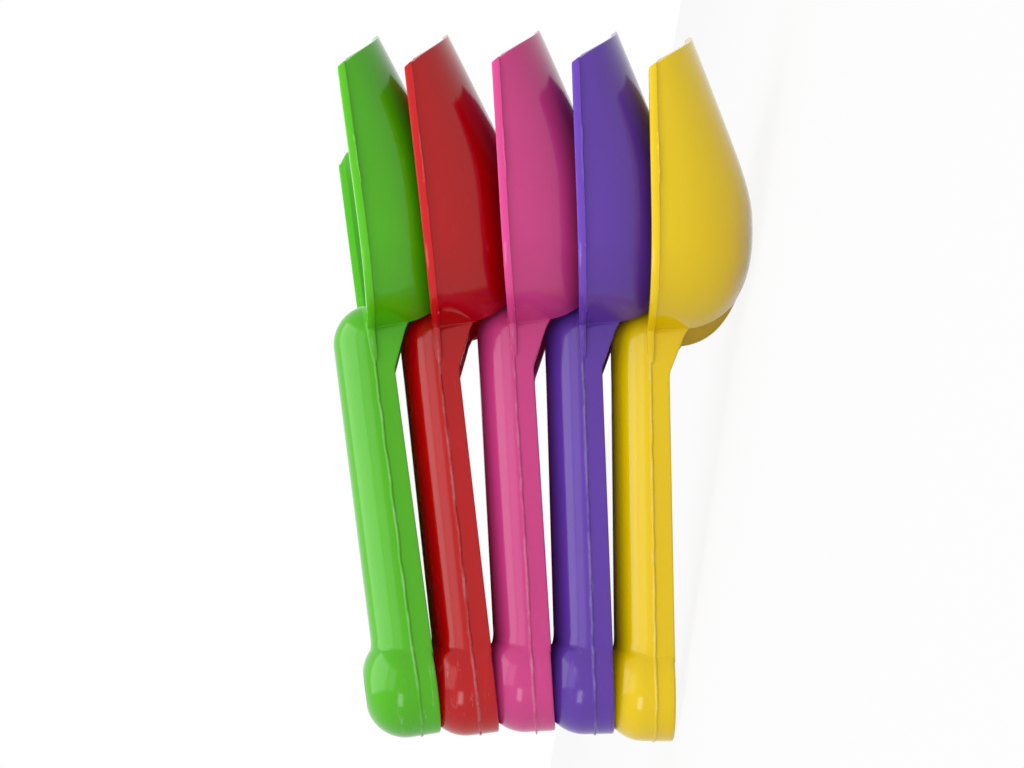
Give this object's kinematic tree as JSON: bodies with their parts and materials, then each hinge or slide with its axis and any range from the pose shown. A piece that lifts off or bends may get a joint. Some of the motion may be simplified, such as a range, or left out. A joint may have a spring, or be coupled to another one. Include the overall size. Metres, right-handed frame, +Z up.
{
  "type": "sand shovel set",
  "caption": "Nested set of moulded sand shovels with deep scoops, channel handles and round hanging knobs.",
  "frame": {"origin": "middle of the nest's bounding box, on the floor that the lowest shovel lies on", "axes": "+X from the hanging knobs to the tips of the blades, +Y across the blades, +Z up"},
  "size_m": [0.1996, 0.0737, 0.1228],
  "materials": {
    "yellow_plastic": "glossy injection-moulded polypropylene",
    "purple_plastic": "glossy injection-moulded polypropylene",
    "pink_plastic": "glossy injection-moulded polypropylene",
    "red_plastic": "glossy injection-moulded polypropylene",
    "green_plastic": "glossy injection-moulded polypropylene"
  },
  "bodies": {
    "yellow_shovel": {"yellow_shovel": "yellow_plastic"},
    "purple_shovel": {"purple_shovel": "purple_plastic"},
    "pink_shovel": {"pink_shovel": "pink_plastic"},
    "red_shovel": {"red_shovel": "red_plastic"},
    "green_shovel": {"green_shovel": "green_plastic"}
  },
  "joints": [
    {"name": "purple_lift", "type": "slide", "parent": "yellow_shovel", "child": "purple_shovel", "axis": [-0.2035, 0, 0.9791], "range_m": [0, 0.06]},
    {"name": "pink_lift", "type": "slide", "parent": "purple_shovel", "child": "pink_shovel", "axis": [-0.2359, 0, 0.9718], "range_m": [0, 0.06]},
    {"name": "red_lift", "type": "slide", "parent": "pink_shovel", "child": "red_shovel", "axis": [-0.2955, -0.0767, 0.9522], "range_m": [0, 0.06]},
    {"name": "green_lift", "type": "slide", "parent": "red_shovel", "child": "green_shovel", "axis": [-0.3191, -0.1547, 0.935], "range_m": [0, 0.06]}
  ]
}
